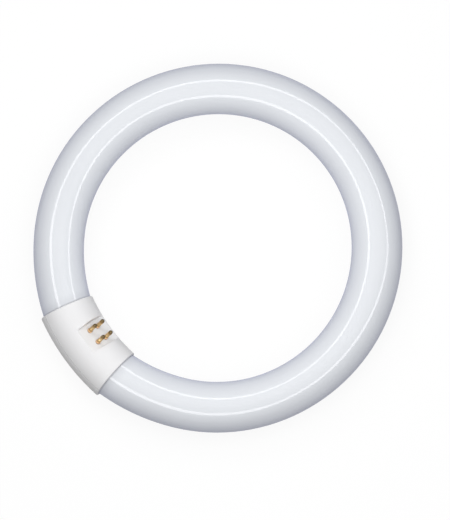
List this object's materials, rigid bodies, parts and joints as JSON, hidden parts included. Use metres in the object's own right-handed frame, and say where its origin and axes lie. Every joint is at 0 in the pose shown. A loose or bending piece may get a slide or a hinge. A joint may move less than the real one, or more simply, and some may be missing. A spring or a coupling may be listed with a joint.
{
  "type": "circular fluorescent tube",
  "caption": "Ring of white-coated glass tube for light, whose sealed ends meet in a split moulded cap with crimped contact pins on a sunk platform that faces the ring's middle.",
  "frame": {"origin": "middle of the ring, on the mid-plane of the tube", "axes": "+Z along the ring's axis, on the side that the pins lean to; the cap is at -Y"},
  "size_m": [0.212, 0.2145, 0.0338],
  "materials": {
    "coated_glass": "glossy clear glass over a white inner coating",
    "cap_plastic": "satin off-white moulded plastic",
    "pin_brass": "bright brass, darker in the crimps",
    "lead_metal": "bare drawn wire"
  },
  "bodies": {
    "root": {"glass_tube": "coated_glass", "cap_front": "cap_plastic", "cap_back": "cap_plastic", "contact_pin_1": "pin_brass", "contact_pin_2": "pin_brass", "contact_pin_3": "pin_brass", "contact_pin_4": "pin_brass", "lead_wire_1": "lead_metal", "lead_wire_2": "lead_metal", "lead_wire_3": "lead_metal", "lead_wire_4": "lead_metal"}
  },
  "joints": []
}
